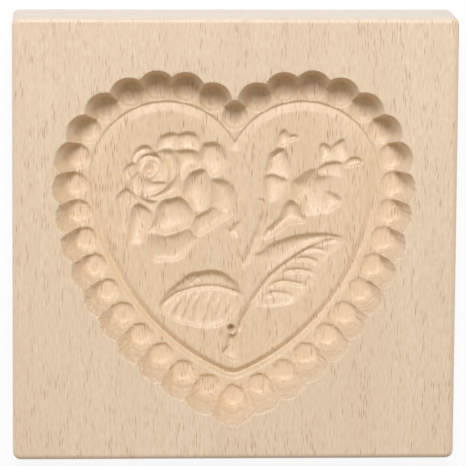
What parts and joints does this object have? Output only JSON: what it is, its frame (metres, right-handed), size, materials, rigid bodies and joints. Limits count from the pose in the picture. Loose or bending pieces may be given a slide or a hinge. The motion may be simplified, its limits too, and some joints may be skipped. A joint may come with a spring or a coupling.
{
  "type": "wooden cookie mould",
  "caption": "Square wooden cookie mould with a scalloped heart hollow and a carved rose spray, for pressing dough or marzipan.",
  "frame": {"origin": "centre of the flat back, on the surface the block lies on", "axes": "+Z out of the carved face, +Y towards the lobes of the heart and along the grain, +X to the right as seen from the front"},
  "size_m": [0.12, 0.121, 0.02],
  "materials": {
    "beech": "matt"
  },
  "bodies": {
    "root": {"mould_block": "beech"}
  },
  "joints": []
}
